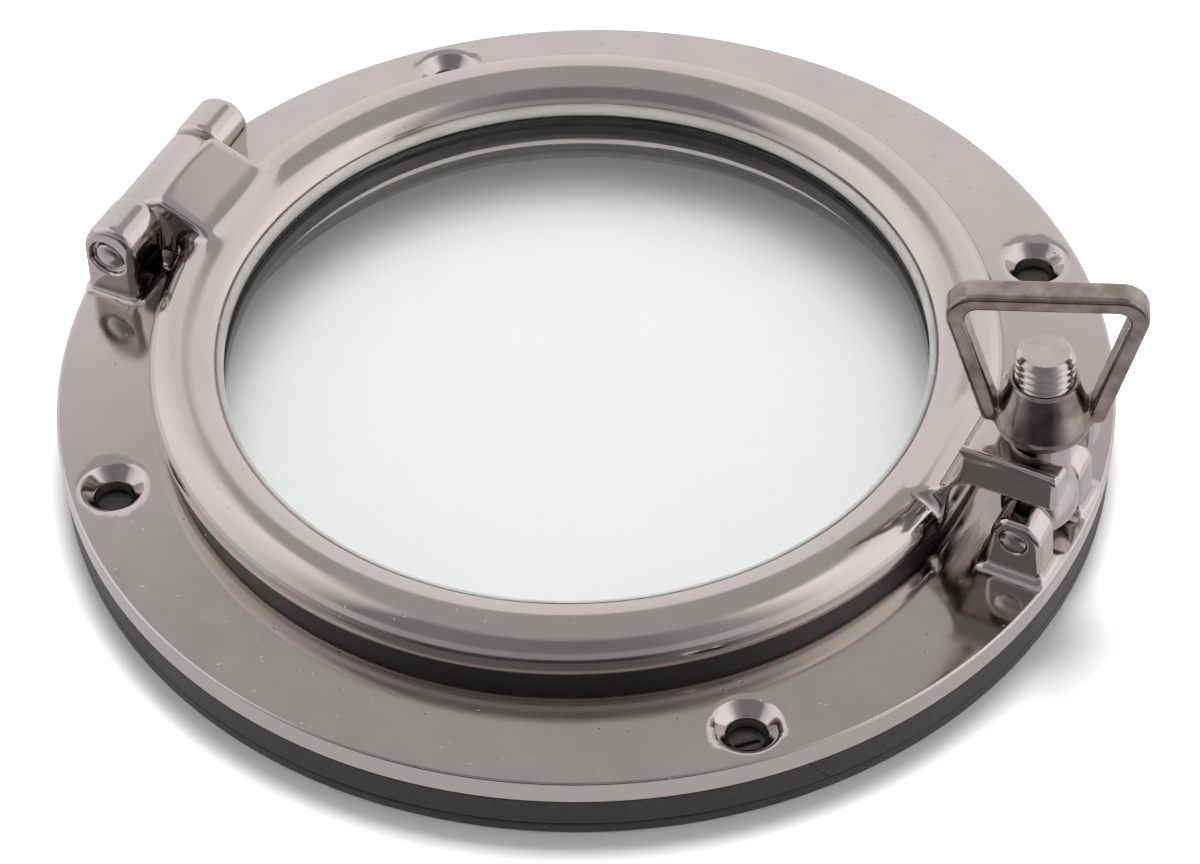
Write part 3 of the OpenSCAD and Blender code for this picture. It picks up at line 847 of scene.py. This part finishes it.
# %% Rubber and glass
def moulded_rubber(name, dark, light, roughness, grain_mm):
    material, tree, shader = new_material(name)
    at = node(tree, "ShaderNodeTexCoord", out="Object")
    grain = node(tree, "ShaderNodeTexNoise", Vector=at, Scale=1000 / grain_mm, Detail=3.0)
    dusty = node(tree, "ShaderNodeTexNoise", Vector=at, Scale=45.0, Detail=4.0)
    both = node(tree, MATH, {"operation": "MULTIPLY_ADD"}, i0=grain, i1=0.5,
                i2=node(tree, MATH, MULTIPLY, i0=dusty, i1=0.5))
    spread = node(tree, "ShaderNodeMapRange", Value=both, i1=0.35, i2=0.65)
    tint = node(tree, "ShaderNodeMix", {"data_type": "RGBA"}, out=2, i0=spread, i6=linear(dark),
                i7=linear(light))
    tree.links.new(tint, shader.inputs["Base Color"])
    rough = node(tree, "ShaderNodeMapRange", Value=dusty, i1=0.3, i2=0.7, i3=roughness - 0.08,
                 i4=roughness + 0.08)
    tree.links.new(rough, shader.inputs["Roughness"])
    bump = node(tree, "ShaderNodeBump", Strength=0.25, Distance=0.00006, Height=grain)
    tree.links.new(bump, shader.inputs["Normal"])
    return material


def float_glass():
    material, tree, shader = new_material("toughened_float_glass")
    shader.inputs["Base Color"].default_value = linear("#fafcfb")
    shader.inputs["IOR"].default_value = 1.52
    shader.inputs["Transmission Weight"].default_value = 1.0
    # A film of dust too thin to see except against the light, in patches about 20 mm across
    at = node(tree, "ShaderNodeTexCoord", out="Object")
    film = node(tree, "ShaderNodeTexNoise", Vector=at, Scale=50.0, Detail=3.0)
    rough = node(tree, "ShaderNodeMapRange", Value=film, i1=0.45, i2=0.8, i3=0.0, i4=0.03)
    tree.links.new(rough, shader.inputs["Roughness"])
    return material


# %% Dress the pieces
casting_steel = buffed_casting()
bolt_steel = turned_bar("turned_stainless_bolt", tuple(clamp * MM), (0, -lean, 0))
pin_steel = turned_bar("turned_stainless_pin", tuple(hinge * MM), (math.pi / 2, 0, 0))
clamp_pin_steel = turned_bar("turned_stainless_clamp_pin", tuple(clamp * MM), (math.pi / 2, 0, 0))
ring_steel = turned_bar("turned_stainless_ring", (port_x * MM, 0, 0), (0, 0, 0))
sheet_rubber = moulded_rubber("black_sheet_rubber", "#1f1e1c", "#33312e", 0.52, 1.0)
seal_rubber = moulded_rubber("soft_extruded_rubber", "#181715", "#2a2826", 0.42, 0.8)
for piece in (frame_casting, sash_casting):
    dress(piece, casting_steel)
for piece in (thick_gasket, thin_gasket):
    dress(piece, sheet_rubber)
for name in ("glazing_seal", "sash_seal"):
    dress(frame["nodes"][name], seal_rubber)
dress(bow_nut, tumbled_nut())
dress(bolt_shank, bolt_steel)
dress(hinge_pin, pin_steel)
dress(latch_pin, clamp_pin_steel)
dress(frame["nodes"]["glass_pane"], float_glass())
dress(frame["nodes"]["retaining_ring"], ring_steel)

# %% Grow the thread
thread_place = (Matrix.Translation(Vector(clamp * MM)) @ Matrix.Rotation(-lean, 4, "Y")
                @ Matrix.Translation((0, 0, (bolt_l + thread_from) / 2 * MM)))
bolt_thread = grown("bolt_thread", thread_tree(bolt_steel), thread_place, {
    "Length": (bolt_l - thread_from) * MM, "Crest radius": bolt_r * MM, "Core radius": 5.1 * MM,
    "Pitch": 1.75 * MM, "Chamfer": 1.25 * MM})
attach(bolt_thread, "bolt")

# %% [markdown]
# ## The stage
#
# A plain pale floor and a camera on a long lens, looking down on the window from the clamp's side.

# %% Camera and floor
def look_camera(azimuth, elevation, roll, target, distance, lens):
    a, e, r = (math.radians(v) for v in (azimuth, elevation, roll))
    back = Vector((math.sin(a) * math.cos(e), -math.cos(a) * math.cos(e), math.sin(e)))
    right = Vector((math.cos(a), math.sin(a), 0))
    up = back.cross(right)
    right, up = right * math.cos(r) + up * math.sin(r), up * math.cos(r) - right * math.sin(r)
    data = bpy.data.cameras.new("camera")
    data.lens = lens
    data.sensor_width = 36
    camera = bpy.data.objects.new("camera", data)
    turn = Matrix((right, up, back)).transposed()
    camera.matrix_world = Matrix.Translation(Vector(target) + back * distance) @ turn.to_4x4()
    bpy.context.scene.collection.objects.link(camera)
    bpy.context.scene.camera = camera


look_camera(28.21, 46.01, -1.64, (0.0111, -0.0149, face_z * MM), 0.8092, 115.7)

floor_mesh = bpy.data.meshes.new("floor")
floor_mesh.from_pydata([(-3, -3, 0), (3, -3, 0), (3, 3, 0), (-3, 3, 0)], [], [(0, 1, 2, 3)])
floor = bpy.data.objects.new("floor", floor_mesh)
bpy.context.scene.collection.objects.link(floor)
floor_paint, tree, shader = new_material("matt_white_table")
shader.inputs["Base Color"].default_value = linear("#f4f4f4")
shader.inputs["Roughness"].default_value = 0.9
dress(floor, floor_paint)
floor.visible_glossy = False

# %% [markdown]
# ## The studio that the metal mirrors
#
# A buffed casting shows its surroundings and little else, so the world is drawn as the room would
# be: bright walls to the left, right and rear, a dim ceiling, a pale near floor and a dark camera side.
# The table itself is hidden from the metal, which sees the drawn floor instead. A softbox above and
# behind the window lights the table and the rubber.

# %% World
# Brightness by azimuth in degrees, from the table up, and then how high the walls reach
FAR_FLOOR = [(-180, 0.9), (-140, 0.7), (-115, 0.22), (-98, 0.07), (-50, 0.06), (-30, 0.3), (-10, 0.9),
             (0, 1.0), (60, 0.9), (130, 0.9), (180, 0.9)]
LOW_WALLS = [(-180, 1.2), (-150, 1.05), (-125, 0.70), (-105, 0.45), (-75, 0.38), (-45, 0.42), (-20, 0.7),
             (0, 1.15), (15, 1.3), (45, 1.3), (75, 1.05), (130, 1.0), (150, 1.0), (168, 1.1), (180, 1.2)]
HIGH_WALLS = [(-180, 1.2), (-150, 1.05), (-130, 0.7), (-118, 0.28), (-60, 0.25), (-45, 0.27), (-20, 0.45),
              (0, 1.1), (15, 1.3), (45, 1.1), (75, 1.0), (130, 1.0), (150, 0.95), (168, 1.1), (180, 1.2)]
WALL_TOPS = [(-180, 0.84), (-60, 0.85), (0, 0.84), (50, 0.80), (80, 0.73), (100, 0.66), (130, 0.66),
             (152, 0.74), (180, 0.84)]
NEAR_FLOOR, CEILING = 0.65, 0.5

world = bpy.data.worlds.new("studio")
bpy.context.scene.world = world
world.use_nodes = True
tree = world.node_tree
view = node(tree, "ShaderNodeTexCoord", out="Generated")
aim = node(tree, "ShaderNodeSeparateXYZ", Vector=view).node.outputs
azimuth = node(tree, MATH, {"operation": "ARCTAN2"}, i0=aim[1], i1=aim[0])
turn = node(tree, MATH, {"operation": "MULTIPLY_ADD"}, i0=azimuth, i1=0.5 / math.pi, i2=0.5)

around_room = []
for levels in (FAR_FLOOR, LOW_WALLS, HIGH_WALLS, WALL_TOPS):
    ramp = node(tree, "ShaderNodeValToRGB", Fac=turn)
    stops = ramp.node.color_ramp.elements
    stops.remove(stops[-1])
    for index, (degrees, level) in enumerate(levels):
        stop = stops[0] if index == 0 else stops.new((degrees + 180) / 360)
        stop.position = (degrees + 180) / 360
        stop.color = (level, level, level, 1)
    around_room.append(ramp)
print("world: rings of brightness round the room", len(around_room))

# %% Blend the bands
SMOOTH = {"interpolation_type": "SMOOTHSTEP"}
room = (NEAR_FLOOR, NEAR_FLOOR, NEAR_FLOOR, 1)
# The bands meet at these heights, given as sines of the angle above the horizon
for band, (start, stop) in zip(around_room, ((-0.60, -0.45), (-0.12, -0.02), (0.26, 0.42))):
    lift = node(tree, "ShaderNodeMapRange", SMOOTH, Value=aim[2], i1=start, i2=stop)
    room = node(tree, "ShaderNodeMix", {"data_type": "RGBA"}, out=2, i0=lift, i6=room, i7=band)
above = node(tree, MATH, SUBTRACT, i0=aim[2], i1=around_room[-1])
above = node(tree, "ShaderNodeMapRange", SMOOTH, Value=above, i1=0.0, i2=0.09)
room = node(tree, "ShaderNodeMix", {"data_type": "RGBA"}, out=2, i0=above, i6=room,
            i7=(CEILING, CEILING, CEILING, 1))
# The lamps give the metal a faint rose cast
tinted = node(tree, "ShaderNodeMix", {"data_type": "RGBA", "blend_type": "MULTIPLY"}, out=2, i0=1.0, i6=room,
              i7=(1.0, 0.968, 0.989, 1))
tree.links.new(tinted, tree.nodes["Background"].inputs["Color"])
print("world nodes", len(tree.nodes))

# %% Softbox
def softbox(name, place, width, height, watts):
    data = bpy.data.lights.new(name, "AREA")
    data.shape = "RECTANGLE"
    data.size, data.size_y, data.energy = width, height, watts
    lamp = bpy.data.objects.new(name, data)
    lamp.location = place
    lamp.rotation_euler = (-Vector(place)).to_track_quat("-Z", "Y").to_euler()
    lamp.visible_glossy = False
    bpy.context.scene.collection.objects.link(lamp)
    print(name, watts, "W")


softbox("rear_softbox", (-0.2, 0.5, 1.6), 0.7, 0.6, 35)
bpy.context.scene.view_settings.view_transform = "Standard"
